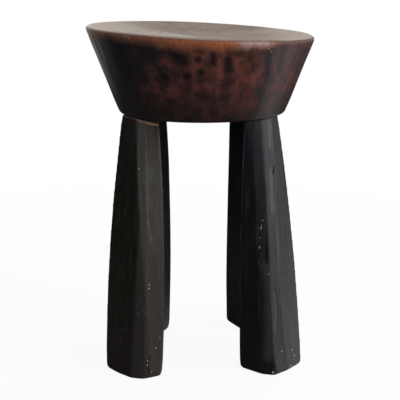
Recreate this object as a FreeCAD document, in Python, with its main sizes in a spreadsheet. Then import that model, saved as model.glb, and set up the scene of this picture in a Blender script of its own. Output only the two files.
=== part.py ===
"""A carved hardwood stool: a dished round seat on four stout hewn legs.

Each leg ends in a round tenon that sits in a blind socket under the seat.
A hidden wedge in the tenon's split end bears on the socket's end and spreads the tenon.
Millimetres, +Z up, +X to the sitter's right, floor at Z = 0, origin under the middle of the rim.
"""

import FreeCAD, Part
import math
import os

import Sketcher
from FreeCAD import Vector

# Driving dimensions: name, value, what it measures. Angles are degrees.
SIZES = (
    ("leg_height", 322.0, "floor to the seat's flat underside"),
    ("seat_depth", 104.0, "underside to the middle of the rim"),
    ("rim_diameter", 296.0, "across the rim before its edge is rounded"),
    ("rim_fall", 14.0, "how much lower the right side of the rim is than the left"),
    ("rim_round", 6.0, "radius of the worn rim"),
    ("rim_land", 14.0, "top of the rim, from the hollow to its edge before that is rounded"),
    ("dish_depth", 9.0, "how deep the hollow of the seat is"),
    ("base_diameter", 217.0, "across the seat at the foot of its tapered side"),
    ("base_bevel", 3.5, "bevel between the tapered side and the underside"),
    ("head_inset", 0.5, "how far the leg heads stand inside the underside's edge"),
    ("knee_height", 200.0, "floor to where the legs bow outwards most"),
    ("foot_wear", 3.0, "height and width of the worn edge round the sole of each foot"),
    ("side_cut", 10.0, "flat between a leg's outer side and its inner face, along X"),
    # The hewn edges of a leg, by height. Angles are measured from the X axis, round the stool's axis.
    ("head_side_angle", 19.0, "outermost edge at the head"),
    ("head_calf_angle", 30.0, "edge along the middle of the broad outer side at the head"),
    ("head_shin_angle", 41.0, "edge between the outer side and the narrow front flat at the head"),
    ("head_front_angle", 49.0, "edge between the narrow front flat and the inner front flat at the head"),
    ("head_width", 47.0, "leg's size along X at the head"),
    ("head_length", 59.0, "inner face along Y at the head"),
    ("head_lead", 5.0, "how far the inner front edge stands ahead of the front edge at the head"),
    ("knee_radius", 122.0, "stool's axis to the leg's outer edges at the knee"),
    ("knee_side_angle", 21.0, "outermost edge at the knee"),
    ("knee_calf_angle", 36.0, "edge along the middle of the outer side at the knee"),
    ("knee_shin_angle", 50.0, "edge between the outer side and the front flat at the knee"),
    ("knee_front_angle", 56.0, "edge between the two front flats at the knee"),
    ("knee_width", 66.0, "leg's size along X at the knee"),
    ("knee_length", 60.0, "inner face along Y at the knee"),
    ("knee_lead", -8.0, "lead of the inner front edge at the knee"),
    ("foot_radius", 147.0, "stool's axis to the leg's outer edges at the floor"),
    ("foot_side_angle", 29.5, "outermost edge at the floor"),
    ("foot_calf_angle", 42.0, "edge along the middle of the outer side at the floor"),
    ("foot_shin_angle", 52.0, "edge between the outer side and the front flat at the floor"),
    ("foot_front_angle", 60.0, "edge between the two front flats at the floor"),
    ("foot_width", 79.0, "leg's size along X at the floor"),
    ("foot_length", 52.0, "inner face along Y at the floor"),
    ("foot_lead", -29.0, "lead of the inner front edge at the floor"),
    # The legs were hewn by eye, so each stands a little differently.
    ("front_left_splay", -3.0, "extra reach of the foot along X"),
    ("front_left_stride", 10.0, "extra reach of the foot along Y"),
    ("front_left_gain", 1.0, "extra wood on the inner face"),
    ("front_left_foot_gain", -7.7, "change of that at the floor"),
    ("front_left_inner_edge", 10.0, "flat on the leg's innermost edge"),
    ("front_left_knee_shin_turn", 0.5, "turn of the shin edge at the knee, in degrees"),
    ("front_left_foot_side_turn", 3.2, "turn of the outermost edge at the floor, in degrees"),
    ("front_left_knee_front_cut", 6.0, "front edge at the knee, behind the outer edges' circle"),
    ("front_left_foot_front_cut", 7.0, "front edge at the floor, behind the outer edges' circle"),
    ("front_left_foot_toe", 17.0, "extra lead of the inner front edge at the floor"),
    ("front_right_splay", 4.0, "extra reach of the foot along X"),
    ("front_right_stride", 2.0, "extra reach of the foot along Y"),
    ("front_right_gain", -2.0, "extra wood on the inner face"),
    ("front_right_foot_gain", 3.0, "change of that at the floor"),
    ("front_right_inner_edge", 10.0, "flat on the leg's innermost edge"),
    ("front_right_knee_calf_turn", 4.0, "turn of the calf edge at the knee, in degrees"),
    ("front_right_knee_shin_turn", -2.7, "turn of the shin edge at the knee, in degrees"),
    ("front_right_knee_front_cut", 12.0, "front edge at the knee, behind the outer edges' circle"),
    ("front_right_foot_front_cut", 16.0, "front edge at the floor, behind the outer edges' circle"),
    ("front_right_foot_toe", 6.0, "extra lead of the inner front edge at the floor"),
    ("rear_left_stride", -9.0, "extra reach of the foot along Y"),
    ("rear_left_gain", 4.5, "extra wood on the inner face"),
    ("rear_left_knee_gain", 0.8, "change of that at the knee"),
    ("rear_left_inner_edge", 9.0, "flat on the leg's innermost edge"),
    ("rear_left_knee_front_cut", 5.0, "front edge at the knee, behind the outer edges' circle"),
    ("rear_right_splay", -0.5, "extra reach of the foot along X"),
    ("rear_right_stride", 3.0, "extra reach of the foot along Y"),
    ("rear_right_gain", 10.0, "extra wood on the inner face"),
    ("rear_right_knee_gain", -1.2, "change of that at the knee"),
    ("rear_right_inner_edge", 20.0, "flat on the leg's innermost edge"),
    ("rear_right_knee_front_cut", 5.0, "front edge at the knee, behind the outer edges' circle"),
    # Joinery between the legs and the seat.
    ("tenon_diameter", 26.0, "round tenon on each leg"),
    ("tenon_length", 42.0, "shoulder to the tenon's end"),
    ("tenon_tip", 1.5, "bevel round the tenon's end"),
    ("tenon_margin_x", 4.5, "shoulder between the tenon and the inner face along X"),
    ("tenon_margin_y", 10.0, "shoulder between the tenon and the inner face along Y"),
    ("socket_clearance", 0.1, "gap round the tenon in its socket"),
    ("socket_end_gap", 2.0, "tenon's end to the end of the socket"),
    ("wedge_reach", 30.0, "wedge from its thick end to its tip"),
    ("wedge_thickness", 5.0, "wedge at its thick end"),
    ("wedge_tip", 1.5, "wedge at its tip"),
    ("wedge_width", 20.0, "wedge along Y"),
)

SIZE_NAMES = {alias for alias, _, _ in SIZES}

# Legs: name, which side of the stool along X and along Y.
LEGS = (
    ("front_left", -1, -1),
    ("front_right", 1, -1),
    ("rear_left", -1, 1),
    ("rear_right", 1, 1),
)

STATIONS = ("foot", "knee", "head")

# The flat on a leg's innermost edge is this many times as long along Y as along X.
INNER_EDGE_SLANT = 2

# Heights and radii that follow from the driving dimensions.
STOOL_HEIGHT = "(Sizes.leg_height + Sizes.seat_depth)"
HEAD_RADIUS = "(Sizes.base_diameter / 2 - Sizes.base_bevel - Sizes.head_inset)"
SIDE_SLOPE = (
    "((Sizes.rim_diameter - Sizes.base_diameter) / 2 / (Sizes.seat_depth - Sizes.base_bevel))"
)
DISH_RADIUS = "(Sizes.rim_diameter / 2 - Sizes.rim_land)"
RIM_TILT = "atan(Sizes.rim_fall / Sizes.rim_diameter)"
SOCKET_END = "(Sizes.leg_height + Sizes.tenon_length + Sizes.socket_end_gap)"
# The tapered side leans out, so the higher left side of the rim reaches further: this centres the rim.
AXIS_SHIFT = f"({SIDE_SLOPE} * Sizes.rim_fall / 2)"
STATION_HEIGHT = {"foot": "Sizes.foot_wear", "knee": "Sizes.knee_height", "head": "Sizes.leg_height"}
STATION_RADIUS = {"foot": "Sizes.foot_radius", "knee": "Sizes.knee_radius", "head": HEAD_RADIUS}


def make_sheet(doc):
    """The spreadsheet of driving dimensions, one alias a row."""
    sheet = doc.addObject("Spreadsheet::Sheet", "Sizes")
    for row, (alias, value, meaning) in enumerate(SIZES, start=1):
        sheet.set(f"A{row}", alias)
        sheet.set(f"B{row}", str(value))
        sheet.set(f"C{row}", meaning)
        sheet.setAlias(f"B{row}", alias)
    doc.recompute()
    return sheet


def number(sheet, expression):
    """The value of an expression of the sheet's cells."""
    value = sheet.evalExpression(expression)
    return float(getattr(value, "Value", value))


def make_body(doc, label):
    """An empty body, named for the piece that it will be."""
    body = doc.addObject("PartDesign::Body", label)
    body.Label = label
    return body


def make_sketch(body, name, plane_role, offsets=None):
    """A sketch on one of its body's origin planes, moved off it by expressions."""
    sketch = body.newObject("Sketcher::SketchObject", name)
    plane = next(f for f in body.Origin.OriginFeatures if f.Role == plane_role)
    sketch.AttachmentSupport = [(plane, "")]
    sketch.MapMode = "FlatFace"
    for axis, expression in (offsets or {}).items():
        sketch.setExpression(f"AttachmentOffset.Base.{axis}", expression)
    return sketch


def pin_point(sketch, geometry, end, name, x, y):
    """Fixes a point of a sketch at two expressions."""
    for kind, axis, expression in (("DistanceX", "x", x), ("DistanceY", "y", y)):
        value = number(sketch.Document.Sizes, expression)
        index = sketch.addConstraint(Sketcher.Constraint(kind, -1, 1, geometry, end, value))
        sketch.renameConstraint(index, f"{name}_{axis}")
        sketch.setExpression(f"Constraints.{name}_{axis}", expression)


def add_outline(sketch, corners):
    """A closed outline of straight lines through named corners, each given by two expressions."""
    sheet = sketch.Document.Sizes
    points = [Vector(number(sheet, x), number(sheet, y), 0) for _, x, y in corners]
    lines = []
    for start, end in zip(points, points[1:] + points[:1]):
        lines.append(sketch.addGeometry(Part.LineSegment(start, end), False))
    for line, following in zip(lines, lines[1:] + lines[:1]):
        sketch.addConstraint(Sketcher.Constraint("Coincident", line, 2, following, 1))
    for line, (name, x, y) in zip(lines, corners):
        pin_point(sketch, line, 1, name, x, y)
    return lines


def edges_where(shape, wanted):
    """Names of the edges whose ends and middle all pass a test."""
    names = []
    for index, edge in enumerate(shape.Edges, start=1):
        middle = edge.valueAt((edge.FirstParameter + edge.LastParameter) / 2)
        points = [vertex.Point for vertex in edge.Vertexes] + [middle]
        if all(wanted(point) for point in points):
            names.append(f"Edge{index}")
    return names


def make_seat(doc):
    """The seat: a tapered block, its top hollowed on a slight tilt, with four sockets under it."""
    sheet = doc.Sizes
    body = make_body(doc, "seat")
    body.setExpression("Placement.Base.x", AXIS_SHIFT)

    block = make_sketch(body, "seat_block_outline", "XZ_Plane")
    top = f"({STOOL_HEIGHT} + Sizes.seat_depth / 2)"
    top_radius = f"(Sizes.rim_diameter / 2 + {SIDE_SLOPE} * Sizes.seat_depth / 2)"
    add_outline(
        block,
        (
            ("middle", "0", "Sizes.leg_height"),
            ("underside", "Sizes.base_diameter / 2 - Sizes.base_bevel", "Sizes.leg_height"),
            ("side_foot", "Sizes.base_diameter / 2", "Sizes.leg_height + Sizes.base_bevel"),
            ("side_top", top_radius, top),
            ("top_middle", "0", top),
        ),
    )
    turned = body.newObject("PartDesign::Revolution", "seat_block")
    turned.Profile = block
    turned.ReferenceAxis = (block, ["V_Axis"])
    turned.Angle = 360
    doc.recompute()

    hollow = make_sketch(body, "seat_hollow_outline", "XZ_Plane", {"y": STOOL_HEIGHT})
    hollow.setExpression("AttachmentOffset.Rotation.Angle", f"-1 * {RIM_TILT}")
    add_hollow_outline(hollow)
    hollowed = body.newObject("PartDesign::Groove", "seat_hollow")
    hollowed.Profile = hollow
    hollowed.ReferenceAxis = (hollow, ["V_Axis"])
    hollowed.Angle = 360
    doc.recompute()
    if hollowed.Shape.Volume >= turned.Shape.Volume:
        raise RuntimeError("the hollow cut nothing from the seat")

    inside_rim = number(sheet, "Sizes.rim_diameter / 2 - Sizes.rim_land / 2")
    above_side = number(sheet, "Sizes.leg_height + Sizes.seat_depth / 2")
    rim = body.newObject("PartDesign::Fillet", "seat_rim")
    rim.Base = (
        hollowed,
        edges_where(
            hollowed.Shape,
            lambda p: math.hypot(p.x, p.y) > inside_rim and p.z > above_side,
        ),
    )
    rim.setExpression("Radius", "Sizes.rim_round")
    doc.recompute()

    mouths = make_sketch(body, "seat_socket_mouths", "XY_Plane", {"z": "Sizes.leg_height"})
    for leg, side_x, side_y in LEGS:
        x, y = tenon_middle(side_x, side_y)
        radius = "Sizes.tenon_diameter / 2 + Sizes.socket_clearance"
        add_circle(mouths, leg, f"{x} - {AXIS_SHIFT}", y, radius)
    sockets = body.newObject("PartDesign::Pocket", "seat_sockets")
    sockets.Profile = mouths
    sockets.setExpression("Length", "Sizes.tenon_length + Sizes.socket_end_gap")
    sockets.Reversed = True
    doc.recompute()
    if sockets.Shape.Volume >= rim.Shape.Volume:
        raise RuntimeError("the sockets cut nothing from the seat")
    return body


def add_hollow_outline(sketch):
    """What is carved off the top: the dish, an arc centred on the axis, and all that lies over the rim."""
    sheet = sketch.Document.Sizes
    dish = number(sheet, DISH_RADIUS)
    depth = number(sheet, "Sizes.dish_depth")
    arc_radius = (dish**2 + depth**2) / (2 * depth)
    centre = Vector(0, arc_radius - depth, 0)
    circle = Part.Circle(centre, Vector(0, 0, 1), arc_radius)
    first, last = -math.pi / 2, math.atan2(-centre.y, dish)
    arc = sketch.addGeometry(Part.ArcOfCircle(circle, first, last), False)
    clear = "(Sizes.rim_diameter / 2 + Sizes.seat_depth)"
    over = "Sizes.seat_depth"
    corners = (
        ("dish_edge", DISH_RADIUS, "0"),
        ("outside", clear, "0"),
        ("outside_top", clear, over),
        ("axis_top", "0", over),
        ("dish_middle", "0", "-1 * Sizes.dish_depth"),
    )
    points = [Vector(number(sheet, x), number(sheet, y), 0) for _, x, y in corners]
    lines = []
    for start, end in zip(points, points[1:]):
        lines.append(sketch.addGeometry(Part.LineSegment(start, end), False))
    for line, following in zip(lines, lines[1:]):
        sketch.addConstraint(Sketcher.Constraint("Coincident", line, 2, following, 1))
    sketch.addConstraint(Sketcher.Constraint("Coincident", arc, 2, lines[0], 1))
    sketch.addConstraint(Sketcher.Constraint("Coincident", lines[-1], 2, arc, 1))
    sketch.addConstraint(Sketcher.Constraint("PointOnObject", arc, 3, -2))
    for line, (name, x, y) in zip(lines, corners):
        pin_point(sketch, line, 1, name, x, y)
    pin_point(sketch, arc, 1, *corners[-1])


def add_circle(sketch, name, x, y, radius):
    """A circle at two expressions, with a third for its radius."""
    sheet = sketch.Document.Sizes
    middle = Vector(number(sheet, x), number(sheet, y), 0)
    circle = sketch.addGeometry(Part.Circle(middle, Vector(0, 0, 1), number(sheet, radius)), False)
    pin_point(sketch, circle, 3, name, x, y)
    index = sketch.addConstraint(Sketcher.Constraint("Radius", circle, number(sheet, radius)))
    sketch.renameConstraint(index, f"{name}_radius")
    sketch.setExpression(f"Constraints.{name}_radius", radius)


def own_trait(leg, trait):
    """Expression for what sets one leg apart, or 0 where it is like the others."""
    alias = f"{leg}_{trait}"
    return f"Sizes.{alias}" if alias in SIZE_NAMES else "0"


def leg_corners(leg, side_x, side_y, station):
    """The eight corners of a leg's section at one height, as expressions.

    The corners of the outer flats lie on a circle round the stool's axis, the front one a cut behind it.
    The inner faces follow from the leg's width and length.
    """
    radius = STATION_RADIUS[station]

    def on_circle(edge):
        turn = own_trait(leg, f"{station}_{edge}_turn")
        angle = f"(Sizes.{station}_{edge}_angle + {turn}) * 1 deg"
        return f"{radius} * cos({angle})", f"{radius} * sin({angle})"

    side = on_circle("side")
    front = on_circle("front")
    front_y = f"({front[1]} - {own_trait(leg, f'{station}_front_cut')})"
    gain = f"({own_trait(leg, 'gain')} + {own_trait(leg, f'{station}_gain')})"
    inner_x = f"({side[0]} - Sizes.{station}_width - {gain})"
    lead_y = f"({front_y} + Sizes.{station}_lead + {own_trait(leg, f'{station}_toe')})"
    inner_y = f"({front[1]} + Sizes.{station}_lead - Sizes.{station}_length)"
    edge = f"Sizes.{leg}_inner_edge"
    drop = f"(1 - {STATION_HEIGHT[station]} / Sizes.leg_height)"
    splay = f"{own_trait(leg, 'splay')} * {drop}"
    stride = f"{own_trait(leg, 'stride')} * {drop}"
    corners = (
        ("side", *side),
        ("calf", *on_circle("calf")),
        ("shin", *on_circle("shin")),
        ("front", front[0], front_y),
        ("inner_front", inner_x, lead_y),
        ("inner_back", inner_x, f"{inner_y} + {INNER_EDGE_SLANT} * {edge}"),
        ("back", f"{inner_x} + {edge}", inner_y),
        ("side_back", f"{side[0]} - Sizes.side_cut", inner_y),
    )
    return [
        (name, f"{side_x} * ({x} + {splay})", f"{side_y} * ({y} + {stride})")
        for name, x, y in corners
    ]


def sole_corners(leg, side_x, side_y):
    """The worn sole: the foot's section drawn in towards its middle by the width of the wear."""
    corners = leg_corners(leg, side_x, side_y, "foot")
    places = {name: (x, y) for name, x, y in corners}
    middle_x = f"({places['side'][0]} + {places['inner_front'][0]}) / 2"
    middle_y = f"({places['front'][1]} + {places['back'][1]}) / 2"
    share = "2 * Sizes.foot_wear / Sizes.foot_width"
    drawn_in = []
    for name, x, y in corners:
        drawn_x = f"{x} + ({middle_x} - {x}) * {share}"
        drawn_y = f"{y} + ({middle_y} - {y}) * {share}"
        drawn_in.append((name, drawn_x, drawn_y))
    return drawn_in


def tenon_middle(side_x, side_y):
    """Where a leg's tenon and its socket are centred: a shoulder's width from the inner faces."""
    inner_x = f"({HEAD_RADIUS} * cos(Sizes.head_side_angle * 1 deg) - Sizes.head_width)"
    front_y = f"({HEAD_RADIUS} * sin(Sizes.head_front_angle * 1 deg) + Sizes.head_lead)"
    x = f"{side_x} * ({inner_x} + Sizes.tenon_margin_x + Sizes.tenon_diameter / 2)"
    y = f"({front_y} - Sizes.head_length + Sizes.tenon_margin_y + Sizes.tenon_diameter / 2)"
    return x, f"{side_y} * {y}"


def wedge_outline(side_x, side_y):
    """The wedge seen along Y, thick end up: also the shape of the split that it fills."""
    x, _ = tenon_middle(side_x, side_y)
    tip = f"({SOCKET_END} - Sizes.wedge_reach)"
    return (
        ("tip_low", f"{x} - Sizes.wedge_tip / 2", tip),
        ("tip_high", f"{x} + Sizes.wedge_tip / 2", tip),
        ("thick_high", f"{x} + Sizes.wedge_thickness / 2", SOCKET_END),
        ("thick_low", f"{x} - Sizes.wedge_thickness / 2", SOCKET_END),
    )


def make_leg(doc, leg, side_x, side_y):
    """A leg: a hewn post, bowed at the knee, with a split round tenon on its head."""
    body = make_body(doc, f"leg_{leg}")
    sections = []
    for station in STATIONS:
        sketch = make_sketch(
            body, f"{leg}_{station}_section", "XY_Plane", {"z": STATION_HEIGHT[station]}
        )
        add_outline(sketch, leg_corners(leg, side_x, side_y, station))
        sections.append(sketch)
    post = body.newObject("PartDesign::AdditiveLoft", f"{leg}_post")
    post.Profile = sections[0]
    post.Sections = sections[1:]
    doc.recompute()

    sole_outline = make_sketch(body, f"{leg}_sole_outline", "XY_Plane")
    add_outline(sole_outline, sole_corners(leg, side_x, side_y))
    sole = body.newObject("PartDesign::AdditiveLoft", f"{leg}_sole")
    sole.Profile = sole_outline
    sole.Sections = sections[:1]
    sole.Ruled = True
    doc.recompute()

    middle_x, middle_y = tenon_middle(side_x, side_y)
    tenon_end = make_sketch(body, f"{leg}_tenon_outline", "XY_Plane", {"z": "Sizes.leg_height"})
    add_circle(tenon_end, "tenon", middle_x, middle_y, "Sizes.tenon_diameter / 2")
    tenon = body.newObject("PartDesign::Pad", f"{leg}_tenon")
    tenon.Profile = tenon_end
    tenon.setExpression("Length", "Sizes.tenon_length")
    doc.recompute()

    below_end = number(doc.Sizes, "Sizes.leg_height + Sizes.tenon_length / 2")
    tip = body.newObject("PartDesign::Chamfer", f"{leg}_tenon_tip")
    round_edges = [
        name
        for name in edges_where(tenon.Shape, lambda p: p.z > below_end)
        if tenon.Shape.getElement(name).Closed
    ]
    tip.Base = (tenon, round_edges)
    tip.setExpression("Size", "Sizes.tenon_tip")
    doc.recompute()

    split_outline = make_sketch(
        body, f"{leg}_split_outline", "XZ_Plane", {"z": f"-1 * {middle_y}"}
    )
    add_outline(split_outline, wedge_outline(side_x, side_y))
    split = body.newObject("PartDesign::Pocket", f"{leg}_split")
    split.Profile = split_outline
    split.SideType = "Symmetric"
    split.setExpression("Length", "Sizes.tenon_diameter * 2")
    doc.recompute()
    if split.Shape.Volume >= tip.Shape.Volume:
        raise RuntimeError(f"the split cut nothing from the {leg} tenon")
    return body


def make_wedge(doc, leg, side_x, side_y):
    """The hidden wedge that spreads a tenon in its socket."""
    body = make_body(doc, f"wedge_{leg}")
    _, middle_y = tenon_middle(side_x, side_y)
    outline = make_sketch(body, f"{leg}_wedge_outline", "XZ_Plane", {"z": f"-1 * {middle_y}"})
    add_outline(outline, wedge_outline(side_x, side_y))
    wedge = body.newObject("PartDesign::Pad", f"{leg}_wedge")
    wedge.Profile = outline
    wedge.SideType = "Symmetric"
    wedge.setExpression("Length", "Sizes.wedge_width")
    doc.recompute()
    return body


def check(doc, bodies):
    """Stops the build if a feature failed or a piece is not one sound solid."""
    for item in doc.Objects:
        if "Invalid" in item.State or "Error" in item.State:
            raise RuntimeError(f"{item.Label} failed: {item.State}")
    for body in bodies:
        shape = body.Shape
        if shape.isNull() or not shape.isValid() or len(shape.Solids) != 1:
            raise RuntimeError(f"{body.Label} is not one valid solid")
        box = shape.BoundBox
        print(
            f"{body.Label}: {shape.Volume / 1000:.1f} cm3, "
            f"x {box.XMin:.1f} to {box.XMax:.1f}, "
            f"y {box.YMin:.1f} to {box.YMax:.1f}, "
            f"z {box.ZMin:.1f} to {box.ZMax:.1f}"
        )


def main():
    doc = FreeCAD.newDocument("stool")
    make_sheet(doc)
    bodies = [make_seat(doc)]
    for leg, side_x, side_y in LEGS:
        bodies.append(make_leg(doc, leg, side_x, side_y))
        bodies.append(make_wedge(doc, leg, side_x, side_y))
    doc.recompute()
    check(doc, bodies)
    os.makedirs("parts", exist_ok=True)
    for body in bodies:
        body.Shape.exportStep(f"parts/{body.Label}.step")


main()
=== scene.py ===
# %% [markdown]
# A carved hardwood stool
#
# The stool has a deep, tapered seat block with a shallow dish, on four stout legs hewn with an adze.
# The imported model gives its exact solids. This lesson gives them what a plain solid lacks:
# tool marks, worn edges, drying cracks, chips, and a dark finish that was rubbed by years of use.
# Everything is in metres, with the floor at zero height and the front of the stool towards -Y.

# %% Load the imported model
import math

import bmesh
import bpy
from mathutils import Matrix, Vector


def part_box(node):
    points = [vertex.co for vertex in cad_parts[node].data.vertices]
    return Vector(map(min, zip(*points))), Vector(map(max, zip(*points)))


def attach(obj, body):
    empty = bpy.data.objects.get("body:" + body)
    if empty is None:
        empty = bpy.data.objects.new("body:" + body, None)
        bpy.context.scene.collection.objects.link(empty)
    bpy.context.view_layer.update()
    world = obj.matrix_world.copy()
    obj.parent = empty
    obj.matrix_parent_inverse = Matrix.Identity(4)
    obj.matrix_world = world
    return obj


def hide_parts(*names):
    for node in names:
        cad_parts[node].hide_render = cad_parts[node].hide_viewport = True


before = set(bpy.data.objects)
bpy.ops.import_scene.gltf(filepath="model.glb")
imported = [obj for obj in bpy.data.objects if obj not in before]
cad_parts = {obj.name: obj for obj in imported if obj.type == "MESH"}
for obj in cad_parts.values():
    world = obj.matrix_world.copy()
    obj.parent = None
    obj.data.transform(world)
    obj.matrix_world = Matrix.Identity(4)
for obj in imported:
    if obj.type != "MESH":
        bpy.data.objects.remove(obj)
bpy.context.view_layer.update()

# %% [markdown]
# Working in code as by hand
#
# An operator acts on whatever is selected, so each step first puts everything down
# and then picks up one piece. Faces, edges and corners are chosen by where they are,
# as they would be clicked on in the window.

# %% Hands: pick up, put down, choose
def put_down():
    """Object mode, with nothing selected."""
    active = bpy.context.view_layer.objects.active
    if active and active.mode != "OBJECT":
        bpy.ops.object.mode_set(mode="OBJECT")
    bpy.ops.object.select_all(action="DESELECT")


def pick_up(piece):
    """Object mode, with one piece selected and active."""
    put_down()
    piece.select_set(True)
    bpy.context.view_layer.objects.active = piece


def start_editing(piece):
    """Edit mode on one piece, with nothing selected in it."""
    pick_up(piece)
    bpy.ops.object.mode_set(mode="EDIT")
    bpy.ops.mesh.select_all(action="DESELECT")


def choose(piece, kind, wanted):
    """In edit mode, selects the VERT, EDGE or FACE elements that pass a test, and counts them."""
    bpy.ops.mesh.select_all(action="DESELECT")
    bpy.ops.mesh.select_mode(type=kind)
    bm = bmesh.from_edit_mesh(piece.data)
    elements = {"VERT": bm.verts, "EDGE": bm.edges, "FACE": bm.faces}[kind]
    chosen = 0
    for element in elements:
        if wanted(element):
            element.select_set(True)
            chosen += 1
    bm.select_flush_mode()
    bmesh.update_edit_mesh(piece.data)
    return chosen


def finish_modifiers(piece):
    """Applies a piece's modifiers in order."""
    pick_up(piece)
    for modifier in list(piece.modifiers):
        bpy.ops.object.modifier_apply(modifier=modifier.name)


def triangles(piece):
    """How many triangles a piece has."""
    piece.data.calc_loop_triangles()
    return len(piece.data.loop_triangles)


# %% [markdown]
# The camera
#
# The picture was taken from a little above the seat, so its top shows as a thin ellipse.
# The camera's place, tilt and lens were fitted to the rim, the seat's foot and the four soles.
# A long lens keeps the legs nearly parallel, as they are in the picture.

# %% Camera
PICTURE = 400
SENSOR = 36.0
FOCAL_LENGTH = 1081.9
CAMERA_PLACE = Vector((0.0, -1.4, 0.5278))
CAMERA_TILT = math.radians(13.095)

put_down()
bpy.ops.object.camera_add(location=CAMERA_PLACE, rotation=(math.pi / 2 - CAMERA_TILT, 0.0, 0.0))
camera = bpy.context.object
camera.data.sensor_width = SENSOR
camera.data.lens = FOCAL_LENGTH / PICTURE * SENSOR
bpy.context.scene.camera = camera
bpy.context.view_layer.update()
print("lens, millimetres:", round(camera.data.lens, 2))


def sight_line(column, row):
    """The direction from the camera through one place of the picture."""
    across = (column - PICTURE / 2) / FOCAL_LENGTH
    down = (row - PICTURE / 2) / FOCAL_LENGTH
    return (camera.matrix_world.to_3x3() @ Vector((across, -down, -1.0))).normalized()


def on_the_wood(piece, column, row):
    """Where the sight line through a place of the picture meets a piece, or its nearest place to it."""
    line = sight_line(column, row)
    hit, place, _, _ = piece.ray_cast(CAMERA_PLACE, line)
    if not hit:
        middle = sum((Vector(corner) for corner in piece.bound_box), Vector()) / 8
        beside = CAMERA_PLACE + line * (middle - CAMERA_PLACE).dot(line)
        _, place, _, _ = piece.closest_point_on_mesh(beside)
    return place


# %% [markdown]
# Nodes in few words
#
# Every finish below is a small network of nodes. As with the pieces, one network is picked up at a time,
# and the helpers work on the one in hand. They add a node and feed its sockets, with a plain number
# or colour where it is the same all over, and with another node where it varies.

# %% Helpers for finishes
in_hand = []


def take_network(owner):
    """Picks up the nodes of a material or of the world."""
    owner.use_nodes = True
    in_hand[:] = [owner.node_tree]


def feed(socket, value):
    """Gives a socket a number, a colour or another node's output."""
    if isinstance(value, bpy.types.NodeSocket):
        in_hand[0].links.new(value, socket)
    else:
        socket.default_value = value


def add_node(kind, inputs=(), **settings):
    """Adds a node. inputs pairs a socket's name or number with what feeds it."""
    node = in_hand[0].nodes.new("ShaderNode" + kind)
    for name, value in settings.items():
        setattr(node, name, value)
    for name, value in inputs:
        feed(node.inputs[name], value)
    return node


def stretched(place, scale):
    """Coordinates scaled along each axis, so that a pattern runs along the grain."""
    return add_node("Mapping", ((0, place), ("Scale", scale))).outputs[0]


def axis_of(place, axis):
    """A place's distance along X, Y or Z."""
    return add_node("SeparateXYZ", ((0, place),)).outputs[axis]


def layer(name):
    """One of the attributes that are kept with a piece."""
    return add_node("Attribute", attribute_name=name).outputs["Fac"]


def mottle(place, scale, detail=4.0, roughness=0.55):
    """Soft irregular variation between 0 and 1, about one metre / scale across."""
    inputs = (("Vector", place), ("Scale", scale), ("Detail", detail), ("Roughness", roughness))
    return add_node("TexNoise", inputs).outputs[0]


def between(value, low, high, to_low=0.0, to_high=1.0):
    """A value's run from low to high, eased at its ends and clamped, mapped to another range."""
    inputs = ((0, value), (1, low), (2, high), (3, to_low), (4, to_high))
    return add_node("MapRange", inputs, interpolation_type="SMOOTHSTEP").outputs[0]


def sums(operation, first, second):
    """Arithmetic on two values."""
    return add_node("Math", ((0, first), (1, second)), operation=operation).outputs[0]


def vectors(operation, *terms, result="Vector"):
    """Arithmetic on places and directions."""
    return add_node("VectorMath", enumerate(terms), operation=operation).outputs[result]


def times(first, second):
    """One value times another."""
    return sums("MULTIPLY", first, second)


def away_from(value, middle):
    """How far a value is from a middle one, on either side."""
    return sums("ABSOLUTE", sums("SUBTRACT", value, middle), 0.0)


def shaken(value, pattern, amount):
    """A value made uneven by a pattern between 0 and 1."""
    return sums("ADD", value, times(sums("SUBTRACT", pattern, 0.5), amount))


def laid_over(amount, under, over):
    """One colour laid over another by an amount."""
    node = add_node("Mix", ((0, amount), (6, under), (7, over)), data_type="RGBA")
    return node.outputs[2]


def colour(red, green, blue):
    """A colour socket's value."""
    return (red, green, blue, 1.0)


def new_finish(name):
    """A material with its shader, and the coordinates that its patterns sit on."""
    finish = bpy.data.materials.new(name)
    take_network(finish)
    place = add_node("TexCoord").outputs["Object"]
    return finish, finish.node_tree.nodes["Principled BSDF"], place


# %% [markdown]
# The stage
#
# The picture shows the stool on plain white. The world is white to the camera and in reflections,
# and gives only a low, even light to the wood. The floor is a thin pale veil that fades out round the stool,
# so it keeps the stool's soft shadow and has no edge. A dark screen stands in front and on the left,
# out of the camera's sight, because in the picture the flats that face left are almost black.

# %% White surroundings and a pale floor
world = bpy.data.worlds.new("studio")
take_network(world)
bpy.context.scene.world = world
SURROUNDING_LIGHT = 0.4

even_light = world.node_tree.nodes["Background"]
even_light.inputs["Color"].default_value = colour(1.0, 1.0, 1.0)
even_light.inputs["Strength"].default_value = SURROUNDING_LIGHT
white = add_node("Background", (("Color", colour(1.0, 1.0, 1.0)), ("Strength", 1.0)))
ray = add_node("LightPath")
seen_or_mirrored = sums("MAXIMUM", ray.outputs["Is Camera Ray"], ray.outputs["Is Glossy Ray"])
shows_white = sums("MAXIMUM", seen_or_mirrored, ray.outputs["Is Transmission Ray"])
sky = add_node("MixShader", ((0, shows_white), (1, even_light.outputs[0]), (2, white.outputs[0])))
feed(world.node_tree.nodes["World Output"].inputs["Surface"], sky.outputs[0])

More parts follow.
